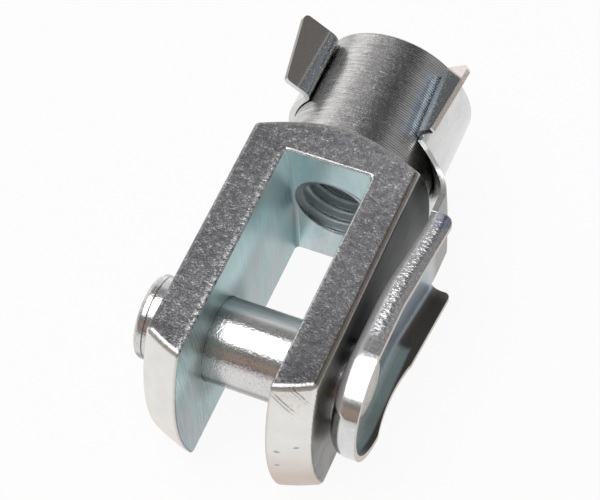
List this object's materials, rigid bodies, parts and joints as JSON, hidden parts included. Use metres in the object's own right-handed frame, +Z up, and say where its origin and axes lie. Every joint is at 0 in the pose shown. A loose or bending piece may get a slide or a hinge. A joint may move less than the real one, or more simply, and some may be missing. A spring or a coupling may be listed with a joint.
{
  "type": "clevis rod end",
  "caption": "Steel fork head with a threaded neck and a spring-clip pin that swings over and snaps round the neck.",
  "frame": {"origin": "where the pin's axis crosses the rod's axis, midway between the ears", "axes": "+X along the pin to the clip's side, +Y along the rod's axis out of the threaded neck, +Z up from the flat face it lies on"},
  "size_m": [0.0288, 0.0516, 0.0204],
  "materials": {
    "fork_steel": "zinc plated, milled and turned, dull blue-grey",
    "pin_steel": "zinc plated, smooth and bright",
    "clip_steel": "zinc plated sheet, satin, bright at the bends"
  },
  "bodies": {
    "fork": {"fork_body": "fork_steel"},
    "clip": {"clevis_pin": "pin_steel", "spring_clip": "clip_steel"}
  },
  "joints": [
    {"name": "clip_swing", "type": "hinge", "parent": "fork", "child": "clip", "pos_m": [0, 0, 0], "axis": [1, 0, 0], "range_deg": [-322, 0], "deforming": ["spring_clip"]}
  ]
}
